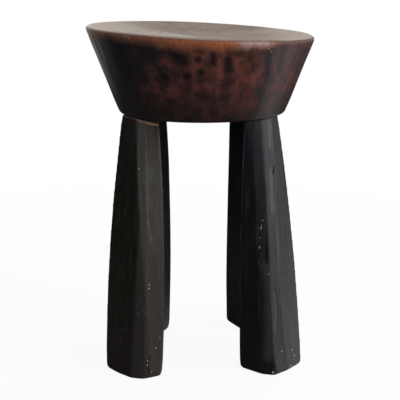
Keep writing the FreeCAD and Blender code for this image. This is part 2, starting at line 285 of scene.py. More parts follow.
FLOOR_RADIUS = 1.3
FLOOR_VEIL = 0.07
put_down()
bpy.ops.mesh.primitive_circle_add(vertices=96, radius=FLOOR_RADIUS, fill_type="NGON")
floor = bpy.context.object
floor.name = "floor"
pale, pale_shader, pale_place = new_finish("pale_floor")
feed(pale_shader.inputs["Base Color"], colour(0.9, 0.9, 0.9))
feed(pale_shader.inputs["Roughness"], 0.9)
feed(pale_shader.inputs["Specular IOR Level"], 0.0)
far = vectors("LENGTH", pale_place, result="Value")
veil = between(far, 0.35 * FLOOR_RADIUS, FLOOR_RADIUS, FLOOR_VEIL, 0.0)
clear = add_node("BsdfTransparent")
thin = add_node("MixShader", ((0, veil), (1, clear.outputs[0]), (2, pale_shader.outputs[0])))
feed(pale.node_tree.nodes["Material Output"].inputs["Surface"], thin.outputs[0])
floor.data.materials.append(pale)
print("floor radius, metres:", FLOOR_RADIUS)

# %% The dark screen
SCREEN_RADIUS = 3.0
# Windows in the screen: bearing from +X to bearing, elevation to elevation, in degrees.
WINDOWS = (
    (350.0, 360.0, -32.0, 90.0),
    (0.0, 27.0, -32.0, 90.0),
    (27.0, 125.0, 4.0, 90.0),
    (125.0, 200.0, 24.0, 90.0),
    (200.0, 350.0, 60.0, 90.0),
    (27.0, 55.0, -45.0, -25.0),
)

put_down()
bpy.ops.mesh.primitive_uv_sphere_add(segments=72, ring_count=36, radius=SCREEN_RADIUS)
screen = bpy.context.object
screen.name = "dark_screen"


def in_a_window(face):
    """True for a face of the sphere that the screen leaves open."""
    middle = face.calc_center_median()
    bearing = math.degrees(math.atan2(middle.y, middle.x)) % 360.0
    elevation = math.degrees(math.asin(middle.z / middle.length))
    return any(left < bearing < right and low < elevation < high for left, right, low, high in WINDOWS)


start_editing(screen)
opened = choose(screen, "FACE", in_a_window)
bpy.ops.mesh.delete(type="FACE")
put_down()

# A card behind the stool, no higher than its seat, keeps the inner faces of the legs dark.
CARD_DISTANCE = 0.45
CARD_WIDTH = 1.6
CARD_HEIGHT = 0.4
bpy.ops.mesh.primitive_plane_add(
    size=1.0,
    location=(0.0, CARD_DISTANCE, CARD_HEIGHT / 2),
    rotation=(math.pi / 2, 0.0, 0.0),
)
card = bpy.context.object
card.name = "dark_card"
card.scale = (CARD_WIDTH, CARD_HEIGHT, 1.0)
bpy.ops.object.transform_apply(location=True, rotation=True, scale=True)

dark_cloth, dark_shader, _ = new_finish("screen_cloth")
feed(dark_shader.inputs["Base Color"], colour(0.01, 0.01, 0.01))
feed(dark_shader.inputs["Specular IOR Level"], 0.0)
for cloth in (screen, card):
    cloth.data.materials.append(dark_cloth)
    cloth.visible_camera = False
    cloth.visible_diffuse = False
    cloth.visible_shadow = False
print("screen faces left open:", opened)

# %% [markdown]
# The lamps
#
# One broad lamp on the right and in front gives the light its direction, as a window does.
# A second one overhead opens up the top. Both are large, so shadows and highlights stay soft.

# %% Lamps
STOOL_MIDDLE = Vector((0.0, 0.0, 0.25))


def add_lamp(name, place, width, power):
    """A square soft lamp that faces the stool."""
    put_down()
    bpy.ops.object.light_add(type="AREA", radius=width, location=place)
    lamp = bpy.context.object
    lamp.name = name
    lamp.data.energy = power
    lamp.rotation_euler = (STOOL_MIDDLE - Vector(place)).to_track_quat("-Z", "Y").to_euler()
    lamp.visible_camera = False
    return lamp


add_lamp("window_lamp", (1.7, -0.9, 1.3), 1.2, 26.0)
add_lamp("top_lamp", (0.3, 0.5, 2.2), 1.2, 16.0)

# %% [markdown]
# The seat block
#
# On the real stool the seat is one thick round of wood, wider at the rim than at its foot.
# It could be turned on a lathe, but it was hewn by eye: the rim falls from left to right.
# So a tapered block is cut off along a slanted plane, as a saw would do it.

# %% Seat: tapered block, slanted top, rounded edges
SEAT_SIDES = 240
UNDERSIDE = 0.322
RIM_HEIGHT = 0.426
RIM_RADIUS = 0.148
FOOT_RADIUS = 0.1085
FOOT_BEVEL = 0.0035
RIM_FALL = 0.014
RIM_ROUND = 0.0045
SPARE_HEIGHT = 0.03

side_lean = (RIM_RADIUS - FOOT_RADIUS) / (RIM_HEIGHT - UNDERSIDE - FOOT_BEVEL)
rim_tilt = math.atan(RIM_FALL / (2 * RIM_RADIUS))
seat_axis = side_lean * RIM_FALL / 2
rim_middle = Vector((seat_axis, 0.0, RIM_HEIGHT))
rim_up = Vector((math.sin(rim_tilt), 0.0, math.cos(rim_tilt)))
block_height = RIM_HEIGHT - UNDERSIDE + SPARE_HEIGHT

put_down()
bpy.ops.mesh.primitive_cone_add(
    vertices=SEAT_SIDES,
    radius1=FOOT_RADIUS - side_lean * FOOT_BEVEL,
    radius2=RIM_RADIUS + side_lean * SPARE_HEIGHT,
    depth=block_height,
    location=(seat_axis, 0.0, UNDERSIDE + block_height / 2),
)
seat = bpy.context.object
seat.name = "hewn_seat"
bpy.ops.object.transform_apply(location=True, rotation=True, scale=True)


def over_rim(place):
    """Height of a place over the slanted plane of the rim."""
    return (place - rim_middle).dot(rim_up)


start_editing(seat)
bpy.ops.mesh.select_all(action="SELECT")
bpy.ops.mesh.bisect(plane_co=rim_middle, plane_no=rim_up, use_fill=True, clear_outer=True)
choose(seat, "EDGE", lambda e: all(abs(over_rim(v.co)) < 1e-5 for v in e.verts))
rim_turn = math.pi / 2 + math.atan(side_lean)
bpy.ops.mesh.bevel(offset=RIM_ROUND * math.tan(rim_turn / 2), segments=6, affect="EDGES")
choose(seat, "EDGE", lambda e: all(v.co.z < UNDERSIDE + 1e-5 for v in e.verts))
bpy.ops.mesh.bevel(offset=FOOT_BEVEL * 0.8, segments=2, affect="EDGES")
put_down()
print("seat faces:", len(seat.data.polygons))

# %% [markdown]
# The dish and the rows of the side
#
# The top was hollowed a few millimetres, deepest in the middle. Insetting the top face again and again,
# a little lower each time, follows the hollow and leaves neat rings and spokes.
# The long edges of the side are divided into rows, so that tool marks can shape it later.

# %% Seat: dish and side rows
DISH_RADIUS = 0.134
DISH_DEPTH = 0.009
DISH_RINGS = 20
SIDE_ROWS = 26

dish_ball = (DISH_RADIUS**2 + DISH_DEPTH**2) / (2 * DISH_DEPTH)


def dish_drop(radius):
    """How far the dish lies under the rim at a distance from its middle."""
    return math.sqrt(dish_ball**2 - radius**2) - math.sqrt(dish_ball**2 - DISH_RADIUS**2)


start_editing(seat)
choose(seat, "FACE", lambda f: f.normal.z > 0.9 and len(f.verts) == SEAT_SIDES)
land_edge = RIM_RADIUS - RIM_ROUND * math.tan(rim_turn / 2)
bpy.ops.mesh.inset(thickness=land_edge - DISH_RADIUS)
ring_step = DISH_RADIUS / (DISH_RINGS + 0.5)
for ring in range(DISH_RINGS):
    outer = DISH_RADIUS - ring * ring_step
    lower = dish_drop(outer - ring_step) - dish_drop(outer)
    bpy.ops.mesh.inset(thickness=ring_step, depth=-lower)
bpy.ops.mesh.poke()

choose(seat, "EDGE", lambda e: abs(e.verts[0].co.z - e.verts[1].co.z) > 0.05)
bpy.ops.mesh.subdivide(number_cuts=SIDE_ROWS)
put_down()
print("seat faces:", len(seat.data.polygons))

# %% [markdown]
# Drying cracks in the seat
#
# A whole round of wood dries faster on the outside, so it splits along its spokes, on the top
# and down the side. A crack here is a chain of spoke edges. Its corners are nudged at random,
# because a real crack wanders. Then the chain is bevelled to a hair's width,
# and its middle line is pushed into the wood.

# %% Seat: find the spokes
# Cracks in the top: bearing in degrees from +X, then from where to where, as distances from the middle.
TOP_CRACKS = (
    (246.0, 0.092, 0.122),
    (228.0, 0.06, 0.088),
    (289.5, 0.07, 0.1),
    (318.0, 0.095, 0.125),
    (337.5, 0.05, 0.085),
    (196.5, 0.085, 0.118),
    (157.5, 0.05, 0.08),
    (121.5, 0.08, 0.11),
    (88.5, 0.045, 0.075),
    (54.0, 0.09, 0.122),
    (16.5, 0.07, 0.105),
)
# Cracks in the side: bearing, then from where to where, as depths under the rim.
SIDE_CRACKS = (
    (288.0, 0.0005, 0.008),
    (294.0, 0.0005, 0.011),
    (297.0, 0.0005, 0.009),
    (303.0, 0.0005, 0.007),
    (325.5, 0.004, 0.03),
    (202.5, 0.006, 0.04),
    (151.5, 0.001, 0.026),
    (109.5, 0.004, 0.038),
    (67.5, 0.001, 0.02),
    (33.0, 0.006, 0.044),
)
CRACK_HALF_WIDTH = 0.00022
CRACK_WANDER = 0.0006
CRACK_DEPTH = 0.0045
CRACK_SHRINK = 0.975
LONGEST_SPOKE_EDGE = 0.02


def bearing_of(place, middle_x):
    """Degrees round an upright line through a place on the X axis."""
    return math.degrees(math.atan2(place.y, place.x - middle_x)) % 360.0


def reach_of(place):
    """Distance from the seat's axis."""
    return math.hypot(place.x - seat_axis, place.y)


def apart(first, second):
    """Degrees between two bearings."""
    return abs((first - second + 180.0) % 360.0 - 180.0)


# The dish's rings are centred on the rim, which stands over the origin.
# The side is centred on the seat's axis.
spokes = []
for vertex in seat.data.vertices:
    if abs(over_rim(vertex.co)) < 1e-4 and vertex.co.xy.length < DISH_RADIUS + 0.001:
        spokes.append(bearing_of(vertex.co, 0.0))
top_cracks = [(min(spokes, key=lambda s: apart(s, bearing)), near, far) for bearing, near, far in TOP_CRACKS]
same_spoke = 90.0 / SEAT_SIDES


def on_a_top_crack(vertex):
    """True for a corner in the dish that lies on a crack."""
    reach = vertex.co.xy.length
    if vertex.co.z < RIM_HEIGHT - 0.03 or reach > DISH_RADIUS:
        return False
    bearing = bearing_of(vertex.co, 0.0)
    return any(near < reach < far and apart(bearing, spoke) < same_spoke for spoke, near, far in top_cracks)


def on_a_side_crack(vertex):
    """True for a corner of the side that lies on a crack."""
    depth = -over_rim(vertex.co)
    if reach_of(vertex.co) < FOOT_RADIUS or (reach_of(vertex.co) < DISH_RADIUS and depth < DISH_DEPTH):
        return False
    bearing = bearing_of(vertex.co, seat_axis)
    return any(high < depth < low and apart(bearing, spoke) < same_spoke for spoke, high, low in SIDE_CRACKS)


print("spokes:", len(spokes))

# %% Seat: open the cracks
def open_cracks(on_a_crack, seed, push):
    """Opens every chain of spoke edges whose corners pass a test, and counts the corners pushed in."""
    choose(seat, "EDGE", lambda e: all(map(on_a_crack, e.verts)) and e.calc_length() < LONGEST_SPOKE_EDGE)
    bpy.ops.transform.vertex_random(offset=CRACK_WANDER, uniform=0.0, normal=0.0, seed=seed)
    bpy.ops.mesh.bevel(offset=CRACK_HALF_WIDTH, segments=2, affect="EDGES")
    bm = bmesh.from_edit_mesh(seat.data)
    lips = {face.index for face in bm.faces if face.select}
    pushed = choose(seat, "VERT", lambda v: all(face.index in lips for face in v.link_faces))
    push()
    return pushed


def push_down():
    """Moves the chosen corners into the top."""
    bpy.ops.transform.translate(value=(0.0, 0.0, -CRACK_DEPTH))


def push_in():
    """Moves the chosen corners of the side towards the axis."""
    shrink = (CRACK_SHRINK, CRACK_SHRINK, 1.0)
    bpy.ops.transform.resize(value=shrink, center_override=(seat_axis, 0.0, UNDERSIDE))


start_editing(seat)
pushed_down = open_cracks(on_a_top_crack, 5, push_down)
pushed_in = open_cracks(on_a_side_crack, 9, push_in)
put_down()
print("corners pushed into the top:", pushed_down, "and into the side:", pushed_in)

# %% [markdown]
# Tool marks
#
# The adze leaves shallow flats, longer along the grain than across it, and no two cuts go equally deep.
# A real carver makes them one by one. Here the surface is divided finely, and two displacements
# do the same: a broad one that makes the form a little uneven, and one of cells that makes the flats.
# The pattern is read off a stretched helper, which sets how long the flats are.

# %% Helpers for tool marks
PATTERN_START = (0.013, 0.007, 0.021)


def add_marks(piece, kind, size, stretch, depth, group=""):
    """Displaces a piece by CLOUDS for unevenness or VORONOI for flats, stretched along the height."""
    put_down()
    bpy.ops.object.empty_add(location=PATTERN_START)
    helper = bpy.context.object
    helper.scale = (1.0, 1.0, stretch)
    pattern = bpy.data.textures.new(piece.name + "_" + kind.lower(), kind)
    pattern.noise_scale = size
    marks = piece.modifiers.new(pattern.name, "DISPLACE")
    marks.texture = pattern
    marks.texture_coords = "OBJECT"
    marks.texture_coords_object = helper
    marks.strength = depth
    marks.mid_level = 0.5
    marks.vertex_group = group
    bpy.context.view_layer.update()
    finish_modifiers(piece)
    bpy.data.textures.remove(pattern)
    bpy.data.objects.remove(helper)


def weigh(piece, name, amount):
    """A vertex group whose weights follow from each corner's place."""
    group = piece.vertex_groups.new(name=name)
    for vertex in piece.data.vertices:
        group.add([vertex.index], amount(vertex.co), "REPLACE")
    return name


def ramp(value, low, high):
    """0 at low, 1 at high, straight between them."""
    return min(1.0, max(0.0, (value - low) / (high - low)))


# %% Seat: hewn side and top
finer = seat.modifiers.new("finer", "SUBSURF")
finer.subdivision_type = "SIMPLE"
finer.levels = 1
finer.render_levels = 1
finish_modifiers(seat)
MARKS_START = UNDERSIDE + 0.002


def side_weight(place):
    """Full on the side, none on its foot or its rim."""
    return ramp(place.z, MARKS_START, UNDERSIDE + 0.02) * ramp(-over_rim(place), 0.005, 0.02)


weigh(seat, "free", lambda place: ramp(place.z, MARKS_START, UNDERSIDE + 0.012))
weigh(seat, "side", side_weight)
add_marks(seat, "CLOUDS", 0.11, 1.0, 0.0014, "free")
add_marks(seat, "VORONOI", 0.021, 4.5, 0.0014, "side")
print("seat triangles:", triangles(seat))

# %% [markdown]
# Sockets for the legs
#
# Four blind holes under the seat take the tenons. They don't show, but they make the joint real:
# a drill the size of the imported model's socket is placed on each tenon's axis, and a boolean takes it away.

# %% Seat: sockets
TENON_RADIUS = 0.013
SOCKET_DEPTH = 0.044
SOCKET_PLAY = 0.0001
LEG_NAMES = ("leg_front_left", "leg_front_right", "leg_rear_left", "leg_rear_right")


def tenon_axis(leg):
    """Where a leg's tenon stands, from the wedge that sits in the middle of it."""
    low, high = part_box(leg.replace("leg", "wedge"))
    return (Vector(low) + Vector(high)) / 2


for leg in LEG_NAMES:
    axis = tenon_axis(leg)
    put_down()
    bpy.ops.mesh.primitive_cylinder_add(
        vertices=64,
        radius=TENON_RADIUS + SOCKET_PLAY,
        depth=2 * SOCKET_DEPTH,
        location=(axis.x, axis.y, UNDERSIDE),
    )
    drill = bpy.context.object
    hole = seat.modifiers.new("hole", "BOOLEAN")
    hole.operation = "DIFFERENCE"
    hole.object = drill
    finish_modifiers(seat)
    bpy.data.objects.remove(drill)
pick_up(seat)
bpy.ops.object.shade_smooth_by_angle(angle=math.radians(40.0))
seat.vertex_groups.clear()
print("sockets:", len(LEG_NAMES), "seat triangles:", triangles(seat))

# %% [markdown]
# The legs
#
# Each leg was split from a log and hewn to long flats, so its edges waver and its flats are slightly hollow.
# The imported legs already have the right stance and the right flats. A copy of each one is merged,
# given an even skin, softened where hands and floors have worn it, most of all at the foot,
# and marked with the adze. The shoulder that meets the seat is left as it is,
# and the sole stays flat on the floor.

# %% Legs: even skin and tool marks
SKIN = 0.0013


def hewn_leg(node):
    """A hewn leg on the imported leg's solid."""
    leg = bpy.data.objects.new("hewn_" + node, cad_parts[node].data.copy())
    bpy.context.scene.collection.objects.link(leg)
    leg.data.materials.clear()
    start_editing(leg)
    bpy.ops.mesh.select_all(action="SELECT")
    bpy.ops.mesh.remove_doubles(threshold=1e-5)
    put_down()
    skin = leg.modifiers.new("even_skin", "REMESH")
    skin.mode = "VOXEL"
    skin.voxel_size = SKIN
    soft = leg.modifiers.new("worn_soft", "SMOOTH")
    soft.factor = 0.5
    soft.iterations = 3
    finish_modifiers(leg)
    worn_foot = leg.modifiers.new("worn_foot", "SMOOTH")
    worn_foot.vertex_group = weigh(leg, "foot", lambda p: ramp(p.z, 0.026, 0.006))
    worn_foot.factor = 0.5
    worn_foot.iterations = 40
    finish_modifiers(leg)
    weigh(leg, "free", lambda p: ramp(p.z, UNDERSIDE - 0.002, UNDERSIDE - 0.014) * ramp(p.z, 0.001, 0.008))
    add_marks(leg, "CLOUDS", 0.055, 2.4, 0.0016, "free")
    add_marks(leg, "VORONOI", 0.022, 3.0, 0.0006, "free")
    leg.vertex_groups.clear()
    pick_up(leg)
    bpy.ops.object.shade_smooth_by_angle(angle=math.radians(50.0))
    return leg


legs = {node: hewn_leg(node) for node in LEG_NAMES}
print("leg triangles:", {node: triangles(leg) for node, leg in legs.items()})

# %% [markdown]
# Splits in the legs and scratches on the top
#
# Both front legs have split along the grain: the right one below its middle, the left one at its foot.
# The top has some short scratches across its rays. Each of these cuts is sawn with a thin blade
# from place to place of the picture, and a boolean takes the blade away.

# %% Saw the splits and scratches
# A cut: its width and depth in metres, then its places in the picture.
FRONT_RIGHT_CUTS = (
    (0.0011, 0.005, (264.5, 211), (262, 219), (260, 229), (258.8, 238),
     (258.6, 250), (257.5, 264), (257, 277)),
    (0.0014, 0.002, (274, 167), (272.8, 174)),
)
FRONT_LEFT_CUTS = (
    (0.0012, 0.005, (150.5, 355), (148, 364), (149.5, 374)),
)
SEAT_CUTS = (
    (0.0009, 0.001, (159.3, 33.2), (162.5, 31.8)),
    (0.0005, 0.0007, (132.8, 31.2), (140.5, 30.2)),
    (0.0006, 0.0008, (165.8, 27.4), (168.2, 25.8)),
    (0.0005, 0.0007, (186, 28.2), (194.5, 26.8)),
    (0.0005, 0.0007, (230, 37.2), (239, 33.4)),
    (0.0005, 0.0007, (266.5, 35), (277.5, 29.8)),
    (0.0005, 0.0007, (249.5, 29.2), (253, 27.5)),
)


def saw(piece, width, depth, start, end):
    """Takes a thin cut out of a piece, from one place on it to another."""
    along = (end - start).normalized()
    sideways = (start - CAMERA_PLACE).cross(along).normalized()
    put_down()
    bpy.ops.mesh.primitive_cube_add(size=1.0, location=(start + end) / 2)
    blade = bpy.context.object
    blade.rotation_euler = Matrix((sideways, along.cross(sideways), along)).transposed().to_euler()
    blade.scale = (width, 2 * depth, (end - start).length + width)
    bpy.context.view_layer.update()
    cut = piece.modifiers.new("cut", "BOOLEAN")
    cut.operation = "DIFFERENCE"
    cut.object = blade
    finish_modifiers(piece)
    bpy.data.objects.remove(blade)


cut_pieces = (
    (legs["leg_front_right"], FRONT_RIGHT_CUTS),
    (legs["leg_front_left"], FRONT_LEFT_CUTS),
    (seat, SEAT_CUTS),
)
for piece, cuts in cut_pieces:
    bpy.context.view_layer.update()
    for width, depth, *picture_places in cuts:
        line = [on_the_wood(piece, *place) for place in picture_places]
        for start, end in zip(line, line[1:]):
            saw(piece, width, depth, start, end)
    pick_up(piece)
    bpy.ops.object.shade_smooth_by_angle(angle=math.radians(45.0))
    print(piece.name, "cuts:", len(cuts), "triangles:", triangles(piece))

# %% [markdown]
# Where the finish has worn
#
# Hands, cloths and floors rub the dark finish off the edges first. To find the edges, each leg
# is smoothed for a moment: a corner that stands out of its smoothed self is on an edge, and one
# that lies under it is in a hollow. The difference is kept with the leg as an attribute,
# which its finish reads later.

# %% Legs: find the worn edges
EDGE_STEP = 0.0009


def find_worn_edges(piece):
    """Keeps how far each corner stands out of the smoothed piece, as a share of one worn edge's height."""
    rubbed = piece.modifiers.new("rubbed", "SMOOTH")
    rubbed.factor = 0.5
    rubbed.iterations = 36
    smoothed = piece.evaluated_get(bpy.context.evaluated_depsgraph_get()).data
    out = []
    for own, even in zip(piece.data.vertices, smoothed.vertices):
        below_seat = ramp(own.co.z, UNDERSIDE - 0.002, UNDERSIDE - 0.01)
        out.append(below_seat * (own.co - even.co).dot(own.normal) / EDGE_STEP)
    piece.modifiers.remove(rubbed)
    worn = piece.data.attributes.new("worn_edges", "FLOAT", "POINT")
    worn.data.foreach_set("value", out)
    return out


for leg in legs.values():
    spread = find_worn_edges(leg)
    print(leg.name, "corners on worn edges:", sum(height > 0.5 for height in spread))

# %% [markdown]
# Chips and scratches
#
# The picture shows bare, pale wood where the finish is chipped: along the seam of the front left leg,
# beside its foot, and beside the crack in the front right leg. Each mark is a short stroke.
# Its places are given in the picture, and the camera's sight line finds them on the wood.
# A second attribute keeps how near each corner is to a stroke.

# %% Helper for strokes
def stroke_nearness(piece, strokes):
    """For each corner of a piece, 1 on a stroke, falling to 0 at the stroke's half width."""
    near = [0.0] * len(piece.data.vertices)
    for half_width, *picture_places in strokes:
        line = [on_the_wood(piece, *place) for place in picture_places]
        line = line if len(line) > 1 else line * 2
        for start, end in zip(line, line[1:]):
            run = end - start
            length = max(run.length_squared, 1e-12)
            for index, vertex in enumerate(piece.data.vertices):
                along = min(1.0, max(0.0, (vertex.co - start).dot(run) / length))
                off = (vertex.co - start - run * along).length
                near[index] = max(near[index], 1.0 - off / half_width)
    return near


def paint(piece, name, strokes):
    """Keeps the nearness to some strokes with a piece, under a name."""
    bpy.context.view_layer.update()
    near = stroke_nearness(piece, strokes)
    marks = piece.data.attributes.new(name, "FLOAT", "POINT")
    marks.data.foreach_set("value", near)
    print(piece.name, name, "corners marked:", sum(value > 0.3 for value in near))


# %% Legs: chips of bare wood
# A stroke: half width in metres, then its places in the picture.
FRONT_LEFT_CHIPS = (
    (0.0016, (126, 117.2), (138, 120.2)),
    (0.003, (139.5, 121), (147, 122.9), (152.4, 124.2), (158, 125)),
    (0.0034, (152, 124.6)),
    (0.0026, (139, 168.5)),
    (0.0022, (149, 285)),
    (0.0022, (149, 288.5)),
    (0.0018, (163, 306)),
    (0.0018, (160, 338)),
    (0.002, (156, 348)),
    (0.0022, (147.6, 361)),
    (0.0024, (147.6, 365), (149, 369)),
    (0.0022, (151, 372)),
)
FRONT_RIGHT_CHIPS = (
    (0.002, (262.4, 220.5)),
    (0.0011, (261.4, 225), (260.8, 229)),
    (0.0012, (259.8, 238)),
    (0.0011, (259.6, 246), (259.4, 249)),
    (0.0015, (258.5, 262.5)),
    (0.002, (269, 274)),
    (0.0024, (282, 351.3)),
    (0.0024, (292.2, 350)),
    (0.0024, (294.7, 355.2)),
    (0.0022, (293.7, 359.5)),
    (0.0026, (291, 365.5)),
    (0.0034, (273, 372.5)),
    (0.0018, (266, 117.5), (268, 117.3)),
)
paint(legs["leg_front_left"], "bare_wood", FRONT_LEFT_CHIPS)
paint(legs["leg_front_right"], "bare_wood", FRONT_RIGHT_CHIPS)

# %% [markdown]
# Grey lines and soot
#
# Some ridges between two flats are too blunt to be found as edges, but the picture shows them
# as thin grey lines; the one on the front ridge of the front left leg is partly a painted highlight. A few
# scratches have the same grey. The upper part of one flat of the front right leg is matt and sooty: a broad
# stroke.

# %% Legs: grey lines, soot
# The first line, on the front ridge, is partly a painted highlight: glossy streaks along a worn ridge.
FRONT_LEFT_LINES = (
    (0.0017, (145.3, 128), (146.6, 160), (147.2, 186), (147, 206), (148.3, 225), (151.5, 242)),
    (0.0014, (158.8, 128), (160.5, 160), (162.3, 190), (164, 225), (165.2, 252)),
    (0.0009, (135.7, 297), (138, 314)),
    (0.0009, (140.3, 299), (144, 313)),
    (0.0008, (145, 311), (148, 315.5)),
    (0.001, (119.8, 329), (119.9, 336), (121.4, 343)),
    (0.0009, (119.8, 329.5), (124.5, 329.5)),
)
FRONT_RIGHT_LINES = (
    (0.0019, (271.2, 124), (272.3, 135), (273.3, 153), (275.5, 167), (276.5, 182), (275.5, 201)),
    (0.0017, (275.2, 203), (275.2, 211), (277, 225), (278.4, 253), (278.5, 279)),
    (0.0014, (274.4, 292), (275.6, 310), (275.4, 335)),
)
FRONT_RIGHT_SOOT = (
    (0.0085, (256.5, 119), (258.5, 150), (260.5, 185), (261.5, 225), (261, 262)),
)
paint(legs["leg_front_left"], "grey_lines", FRONT_LEFT_LINES)
paint(legs["leg_front_right"], "grey_lines", FRONT_RIGHT_LINES)
paint(legs["leg_front_right"], "soot", FRONT_RIGHT_SOOT)

# %% [markdown]
# Rubbed flats, painted sheen and painted highlights
#
# The narrow front flat of the front left leg and the broad flat beside it are greyer and browner
# than the rest: partly the black was rubbed off there, and partly a sheen is painted on, lighter towards the
# top as painted light. At the top that starts at the leg's shin edge, and further down beyond it. Both limits
# are bearings that turn with the height.
# The front right leg has a few faint patches of it, mostly painted highlights on its bright flat,
# and a fainter, even painted light on the flats that face right, stronger towards the foot.

# %% Legs: rubbed flats, painted sheen and highlights
# Height in metres, bearing from the X axis in degrees.
SHIN_EDGE = ((0.0, 55.2), (0.2, 52.0), (0.322, 41.0))
RUBBED_AND_SHEEN_EDGE = ((0.0, 62.5), (0.07, 60.5), (0.112, 58.0), (0.16, 54.7), (0.2, 52.3), (0.322, 41.0))
# Front right strokes: the first two are painted highlights on its bright flat.
FRONT_RIGHT_RUBS_AND_HIGHLIGHTS = (
    (0.0068, (268.8, 121), (270.0, 146)),
    (0.006, (271.0, 170), (271.6, 190), (272.4, 211)),
    (0.0105, (266.5, 268), (269.5, 295), (270, 330), (269, 356)),
)


def bearing_at(edge, height):
    """The bearing of an edge at a height."""
    for (low, first), (high, last) in zip(edge, edge[1:]):
        if height <= high:
            return first + (last - first) * (height - low) / (high - low)
    return edge[-1][1]


front_left = legs["leg_front_left"]
# The front left leg's rubbed flats: partly worn wood, partly a painted sheen on the flats that face front.
rubbed_and_sheen_flats = []
for vertex in front_left.data.vertices:
    bearing = math.degrees(math.atan2(abs(vertex.co.y), abs(vertex.co.x)))
    past_shin = ramp(bearing - bearing_at(SHIN_EDGE, vertex.co.z), -0.5, 1.0)
    past_rub_and_sheen = ramp(bearing - bearing_at(RUBBED_AND_SHEEN_EDGE, vertex.co.z), -0.5, 1.2)
    facing_front = ramp(-vertex.normal.y, 0.25, 0.5) * ramp(vertex.co.z, UNDERSIDE, UNDERSIDE - 0.004)
    rubbed_and_sheen_flats.append(max(0.45 * past_shin, past_rub_and_sheen) * facing_front)
rubbed = front_left.data.attributes.new("rubbed", "FLOAT", "POINT")
rubbed.data.foreach_set("value", rubbed_and_sheen_flats)
print("rubbed corners:", sum(value > 0.5 for value in rubbed_and_sheen_flats))
front_right = legs["leg_front_right"]
paint(front_right, "rubbed", FRONT_RIGHT_RUBS_AND_HIGHLIGHTS)
for vertex, mark in zip(front_right.data.vertices, front_right.data.attributes["rubbed"].data):
    # Painted light: the flats that face right are laid lighter, more towards the foot.
    painted_light_right = ramp(vertex.normal.x, 0.6, 0.8) * ramp(vertex.co.z, UNDERSIDE, UNDERSIDE - 0.004)
    mark.value = max(mark.value, painted_light_right * (0.2 + 0.6 * ramp(vertex.co.z, 0.2, 0.05)))

# %% [markdown]
# The finish of the legs
#
# The legs are blackened, with a satin sheen. Close to, the black is not even: it turns brown, blue
# or grey along the grain, it is rubbed thin on the edges, and it is gone in the chips.
# Each of these is one layer over the last. The grain runs up the leg, so its pattern
# is stretched along the height.

